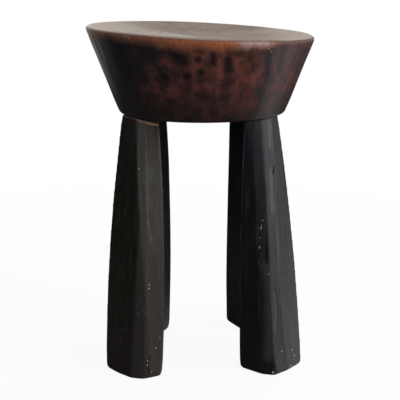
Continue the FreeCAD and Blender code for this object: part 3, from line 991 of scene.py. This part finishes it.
# %% Legs: blackened wood
def blackened_wood():
    """Nearly black, satin, with worn edges and chips."""
    finish, shader, place = new_finish("blackened_wood")
    across = axis_of(place, "X")
    height = axis_of(place, "Z")
    along = stretched(place, (1.0, 1.0, 0.07))
    cloud = mottle(place, 24.0, 4.0)
    grain = mottle(along, 170.0, 6.0, 0.6)
    fibre = mottle(along, 620.0, 3.0, 0.6)
    speck = mottle(place, 900.0, 3.0, 0.7)

    # Brown-black on the left, blue-black on the right, streaked along the grain.
    to_the_right = between(shaken(across, cloud, 0.1), -0.04, 0.04)
    tone = laid_over(to_the_right, colour(0.012, 0.0094, 0.005), colour(0.0046, 0.0076, 0.0118))
    purple = between(cloud, 0.5, 0.66, 0.0, 0.7)
    tone = laid_over(purple, tone, colour(0.0085, 0.0062, 0.0074))
    streaks = between(grain, 0.48, 0.72, 0.0, 0.8)
    tone = laid_over(streaks, tone, colour(0.024, 0.0205, 0.019))
    low_tone = laid_over(to_the_right, colour(0.017, 0.012, 0.0092), colour(0.0085, 0.009, 0.0125))
    tone = laid_over(between(height, 0.02, 0.13, 0.7, 0.0), tone, low_tone)

    # The rubbed flats, partly worn and partly painted sheen, painted lighter towards the top against the
    # seat's shadow: green-grey, brown-grey beside it, purple-grey lower down.
    rubbed_and_sheen = times(layer("rubbed"), between(fibre, 0.2, 0.5, 0.75, 1.0))
    # Painted light: the rubbed tones get lighter towards the top, against the shadow under the seat.
    painted_light_high_up = between(height, 0.1, 0.27)
    green_grey = laid_over(painted_light_high_up, colour(0.044, 0.039, 0.037), colour(0.08, 0.083, 0.075))
    brown_grey = laid_over(painted_light_high_up, colour(0.043, 0.034, 0.027), colour(0.078, 0.064, 0.05))
    left_leg = between(across, -0.03, 0.03, 1.0, 0.0)
    browner = between(shaken(across, cloud, 0.06), -0.07, -0.056, 0.0, left_leg)
    thin = laid_over(browner, green_grey, brown_grey)
    thin = laid_over(between(grain, 0.48, 0.75, 0.0, 0.6), thin, colour(0.024, 0.022, 0.02))
    tone = laid_over(rubbed_and_sheen, tone, thin)

    # Edges rubbed thin in places, grey lines, and chips down to the bare wood.
    worn = between(shaken(layer("worn_edges"), fibre, 0.45), 0.35, 0.85, 0.0, 0.7)
    worn = times(worn, between(cloud, 0.38, 0.58))
    # The grey lines: worn ridges and scratches, and on the front left leg's front ridge partly a painted
    # highlight.
    lines = between(shaken(layer("grey_lines"), speck, 0.8), 0.25, 0.75, 0.0, 0.62)
    broken = between(mottle(place, 70.0, 3.0), 0.34, 0.56, 0.25, 1.0)
    lines = times(lines, broken)
    tone = laid_over(worn, tone, colour(0.07, 0.066, 0.066))
    tone = laid_over(lines, tone, colour(0.135, 0.126, 0.122))
    chips = between(shaken(layer("bare_wood"), speck, 1.3), 0.5, 0.75)
    at_the_seam = between(height, UNDERSIDE - 0.016, UNDERSIDE - 0.01)
    bare_tone = laid_over(at_the_seam, colour(0.68, 0.48, 0.32), colour(0.4, 0.2, 0.08))
    tone = laid_over(chips, tone, bare_tone)

    feed(shader.inputs["Base Color"], tone)
    gloss = between(grain, 0.25, 0.75, 0.33, 0.5)
    soot = between(layer("soot"), 0.0, 0.6, 0.0, 0.5)
    matt = sums("MAXIMUM", times(chips, 0.3), soot)
    feed(shader.inputs["Roughness"], sums("ADD", gloss, matt))
    hewn = mottle(stretched(place, (1.0, 1.0, 0.45)), 150.0, 4.0, 0.6)
    relief = sums("ADD", fibre, times(grain, 1.5))
    relief = sums("ADD", relief, times(hewn, 3.0))
    bump = add_node("Bump", (("Strength", 0.45), ("Distance", 0.0005), ("Height", relief)))
    feed(shader.inputs["Normal"], bump.outputs[0])
    return finish


black = blackened_wood()
for leg in legs.values():
    leg.data.materials.append(black)
print("leg finish nodes:", len(black.node_tree.nodes))

# %% [markdown]
# The finish of the seat
#
# The seat is the same kind of wood, but it was handled, oiled and sat on. Its side is red-brown,
# with dark blotches and streaks where oil and smoke soaked in, and painted nearly black on the left as
# painted shade.
# Some blotches are placed as in the picture, each as a stroke that the camera finds on the wood;
# the others are scattered all round.

# %% Seat: blotches and chips
SEAT_BLOTCHES = (
    (0.0115, (165, 78)),
    (0.0105, (187, 76)),
    (0.01, (201, 73)),
    (0.008, (198, 60)),
    (0.009, (197, 49), (201, 50)),
    (0.012, (231, 49), (240, 51)),
    (0.008, (213, 52), (213, 64)),
    (0.011, (228, 60), (229, 70)),
    (0.017, (174, 52), (182, 60)),
    (0.0105, (269, 46), (269, 60), (270, 84)),
    (0.015, (260, 90), (264, 100)),
    (0.0105, (284, 45), (280.5, 70)),
)
SEAT_CHIPS = (
    (0.0028, (126.5, 36.6)),
    (0.0024, (128.7, 38.2)),
    (0.0018, (124.8, 36.0)),
    (0.0011, (161.5, 41)),
    (0.0011, (195, 43.5)),
    (0.0026, (268.6, 49.0)),
    (0.0026, (271.2, 51.6)),
    (0.0018, (270.4, 48.8)),
    (0.001, (287, 45.5)),
    (0.001, (234, 93.5)),
    (0.0018, (125, 115.2), (138, 118.4)),
    (0.0022, (141, 119.5), (147, 120.8), (152, 121.6)),
)
paint(seat, "blotches", SEAT_BLOTCHES)
paint(seat, "bare_wood", SEAT_CHIPS)

# %% [markdown]
# Side, rim and top
#
# The layers of the seat's finish are told apart by measures of a place: how far it lies over the slanted rim,
# how far inside the tapered side, and how far to the right. The rim is rubbed down to orange-brown wood,
# with short upright fibres, and has a painted highlight at one place in front. The dish is end grain,
# polished by use:
# paler, with faint rays from the middle and dark pores, and a painted highlight near its left and right ends.

# %% Seat: measures and patterns
# Where along X the side is warmest, the rim most handled and the rim's painted highlight centred.
WARM_MIDDLE = 0.014
HANDLED_MIDDLE = 0.012
RIM_HIGHLIGHT_MIDDLE = 0.066


def seat_measures(place):
    """How far a place lies over the rim, inside the side and along X, and its direction from the axis."""
    from_middle = vectors("SUBTRACT", place, rim_middle)
    over = vectors("DOT_PRODUCT", from_middle, rim_up, result="Value")
    flat = vectors("MULTIPLY", from_middle, (1.0, 1.0, 0.0))
    reach = vectors("LENGTH", flat, result="Value")
    outward = vectors("NORMALIZE", flat)
    height = axis_of(from_middle, "Z")
    across = axis_of(place, "X")
    side_reach = sums("ADD", times(height, side_lean), RIM_RADIUS)
    inside = sums("SUBTRACT", side_reach, reach)
    return over, inside, across, outward


def side_tone(place, over, across, outward):
    """The side: nearly black on the left as painted shade, red-brown and blotchy towards the right, with
    painted sheen on the far left and the right.
    """
    cloud = mottle(place, 20.0, 5.0, 0.6)
    patch = mottle(place, 60.0, 5.0, 0.62)
    streak = mottle(outward, 12.0, 3.0, 0.5)
    deep_red = colour(0.038, 0.0118, 0.012)
    red_brown = colour(0.165, 0.04, 0.0275)
    tone = laid_over(between(patch, 0.36, 0.68), deep_red, red_brown)
    streaks = between(streak, 0.5, 0.66, 0.0, 0.3)
    tone = laid_over(streaks, tone, colour(0.012, 0.0062, 0.0058))
    off_warm = away_from(shaken(across, cloud, 0.06), WARM_MIDDLE)
    under_rim = between(over, -0.06, -0.02)
    warm = times(between(off_warm, 0.012, 0.05, 0.5, 0.0), under_rim)
    tone = laid_over(warm, tone, colour(0.205, 0.052, 0.03))
    spots = add_node("TexVoronoi", (("Vector", place), ("Scale", 50.0), ("Randomness", 1.0)))
    scattered = between(shaken(spots.outputs["Distance"], patch, 0.4), 0.14, 0.42, 0.45, 0.0)
    blotches = layer("blotches")
    upright = mottle(stretched(place, (1.0, 1.0, 0.15)), 220.0, 4.0, 0.6)
    uneven = shaken(shaken(blotches, patch, 1.1), upright, 0.4)
    placed = between(uneven, 0.08, 0.85, 0.0, 0.92)
    dark = sums("MAXIMUM", scattered, placed)
    tone = laid_over(dark, tone, colour(0.0085, 0.0052, 0.0058))
    # Painted shade: the left of the side is laid nearly black.
    painted_shade_left = between(shaken(across, cloud, 0.1), -0.085, -0.03, 1.0, 0.0)
    tone = laid_over(painted_shade_left, tone, colour(0.0104, 0.009, 0.0108))
    # Painted sheen: grey flats laid over the far left edge of the side.
    to_left = axis_of(outward, "X")
    painted_sheen_left = between(shaken(to_left, streak, 0.16), -0.97, -0.84, 0.6, 0.0)
    uneven_sheen = between(shaken(streak, patch, 0.3), 0.36, 0.64)
    painted_sheen_flats = laid_over(uneven_sheen, colour(0.112, 0.096, 0.081), colour(0.07, 0.059, 0.05))
    tone = laid_over(painted_sheen_left, tone, painted_sheen_flats)
    # Painted sheen: a grey-purple tone laid over the right of the side.
    sheen_mask = between(shaken(across, cloud, 0.06), 0.045, 0.125, 0.0, 0.55)
    tone = laid_over(sheen_mask, tone, colour(0.058, 0.04, 0.041))
    low = between(over, -0.098, -0.04, 0.72, 0.0)
    return laid_over(low, tone, colour(0.0125, 0.0072, 0.0076))


def rim_tone(place, over, across, side):
    """The rim over the side: orange-brown fibres that break up downwards, and one painted highlight."""
    fibre = mottle(stretched(place, (1.0, 1.0, 0.1)), 640.0, 4.0, 0.65)
    cloud = mottle(place, 34.0, 3.0, 0.5)
    fibrous = between(fibre, 0.36, 0.62)
    off_handled = away_from(shaken(across, cloud, 0.05), HANDLED_MIDDLE)
    handled = between(off_handled, 0.03, 0.115, 1.0, 0.0)
    under = times(over, -1.0)
    least = between(across, -0.03, 0.08, 0.01, 0.006)
    deep = sums("ADD", times(handled, 0.005), least)
    share = shaken(sums("DIVIDE", under, deep), cloud, 1.2)
    rubbed = between(shaken(share, fibre, 0.9), 0.2, 1.35, 1.0, 0.0)
    red = laid_over(fibrous, colour(0.13, 0.042, 0.027), colour(0.195, 0.076, 0.049))
    right_end = between(across, 0.08, 0.11, 0.0, 0.6)
    red = laid_over(right_end, red, colour(0.07, 0.03, 0.024))
    orange = laid_over(fibrous, colour(0.24, 0.06, 0.02), colour(0.45, 0.128, 0.044))
    tone = laid_over(rubbed, side, laid_over(handled, red, orange))
    # Painted highlight: a pale patch laid over the rim in front.
    off_rim_highlight = away_from(shaken(across, cloud, 0.02), RIM_HIGHLIGHT_MIDDLE)
    pale = times(between(off_rim_highlight, 0.008, 0.028, 0.9, 0.0), rubbed)
    rim_highlight_tone = laid_over(fibrous, colour(0.3, 0.19, 0.17), colour(0.5, 0.37, 0.34))
    return laid_over(pale, tone, rim_highlight_tone)


def top_tone(place, inside, outward):
    """The dish: end grain with rays and pores, and a painted highlight towards its left and right ends."""
    rays = mottle(outward, 9.0, 6.0, 0.7)
    cloud = mottle(place, 16.0, 4.0, 0.6)
    pores = mottle(place, 420.0, 3.0, 0.6)
    ray_lines = between(rays, 0.32, 0.7)
    tone = laid_over(ray_lines, colour(0.122, 0.078, 0.049), colour(0.16, 0.105, 0.068))
    tone = laid_over(between(cloud, 0.42, 0.62, 0.0, 0.7), tone, colour(0.078, 0.047, 0.029))
    tone = laid_over(between(pores, 0.56, 0.72, 0.0, 0.6), tone, colour(0.05, 0.031, 0.02))
    fine_rays = shaken(mottle(outward, 34.0, 4.0, 0.7), cloud, 0.35)
    checks = between(fine_rays, 0.57, 0.66, 0.0, 0.8)
    tone = laid_over(checks, tone, colour(0.046, 0.029, 0.019))
    # Painted highlight: a paler tone laid near the dish's left and right ends.
    to_right = axis_of(outward, "X")
    sideways = between(away_from(to_right, 0.0), 0.5, 0.9)
    dish_end_highlight = times(between(inside, 0.085, 0.012), sideways)
    right_half = between(to_right, -0.5, 0.5)
    dish_highlight_tone = laid_over(right_half, colour(0.24, 0.182, 0.133), colour(0.31, 0.24, 0.185))
    return laid_over(times(dish_end_highlight, 0.9), tone, dish_highlight_tone)


# %% Seat: rubbed wood
def rubbed_wood():
    """Dark red-brown side, worn rim and polished end grain."""
    finish, shader, place = new_finish("rubbed_wood")
    over, inside, across, outward = seat_measures(place)
    side = rim_tone(place, over, across, side_tone(place, over, across, outward))
    edge_line = between(inside, 0.0005, 0.0025, 0.0, 0.8)
    side = laid_over(edge_line, side, colour(0.06, 0.02, 0.0105))
    dish_side = between(inside, 0.003, 0.005)
    on_top = times(dish_side, between(over, -0.03, -0.02))
    tone = laid_over(on_top, side, top_tone(place, inside, outward))
    bare = layer("bare_wood")
    speck = mottle(place, 900.0, 3.0, 0.7)
    chips = between(shaken(bare, speck, 1.5), 0.45, 0.8)
    tone = laid_over(chips, tone, colour(0.44, 0.24, 0.14))
    feed(shader.inputs["Base Color"], tone)

    grain = mottle(stretched(place, (1.0, 1.0, 0.12)), 300.0, 4.0, 0.6)
    polish = between(grain, 0.3, 0.7, 0.36, 0.48)
    near_rim = between(over, -0.016, -0.004, 0.0, 0.16)
    feed(shader.inputs["Roughness"], sums("ADD", polish, near_rim))
    # A dusty sheen on the far left, strongest under the rim.
    to_left = axis_of(outward, "X")
    sheen_mask = between(shaken(to_left, grain, 0.06), -0.97, -0.66, 1.0, 0.0)
    sheen_mask = times(sheen_mask, between(over, -0.1, -0.015, 0.1, 0.68))
    feed(shader.inputs["Sheen Weight"], sheen_mask)
    feed(shader.inputs["Sheen Roughness"], 0.35)
    feed(shader.inputs["Sheen Tint"], colour(1.0, 0.93, 0.84))
    bump = add_node("Bump", (("Strength", 0.2), ("Distance", 0.0005), ("Height", grain)))
    feed(shader.inputs["Normal"], bump.outputs[0])
    return finish


seat.data.materials.clear()
seat.data.materials.append(rubbed_wood())
print("seat finish nodes:", len(seat.data.materials[0].node_tree.nodes))

# %% [markdown]
# The hidden wedges
#
# A wedge in the split end of each tenon spreads it in its socket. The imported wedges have
# the right shape already, so they only get a finish: raw split wood, with fibres along its length.

# %% Wedges: split wood
def split_wood():
    """Raw, pale wood with fibres."""
    finish, shader, place = new_finish("split_wood")
    fibre = mottle(stretched(place, (1.0, 1.0, 0.08)), 500.0, 4.0, 0.6)
    fibrous = between(fibre, 0.35, 0.65)
    tone = laid_over(fibrous, colour(0.36, 0.23, 0.12), colour(0.52, 0.37, 0.21))
    feed(shader.inputs["Base Color"], tone)
    feed(shader.inputs["Roughness"], between(fibre, 0.3, 0.7, 0.6, 0.8))
    bump = add_node("Bump", (("Strength", 0.3), ("Distance", 0.0005), ("Height", fibre)))
    feed(shader.inputs["Normal"], bump.outputs[0])
    return finish


raw_wood = split_wood()
for leg in LEG_NAMES:
    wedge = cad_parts[leg.replace("leg", "wedge")]
    for material_slot in wedge.material_slots:
        material_slot.material = raw_wood
    print(wedge.name, "finishes:", len(wedge.material_slots))

# %% [markdown]
# Put it together
#
# Each new piece rides on the stool's only body and stands for its imported node.

# %% Ride and replace
for piece, node, slot in [(seat, "seat", "seat_wood")] + [(legs[n], n, "leg_wood") for n in LEG_NAMES]:
    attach(piece, "root")
    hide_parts(node)

bpy.context.scene.view_settings.view_transform = "Standard"
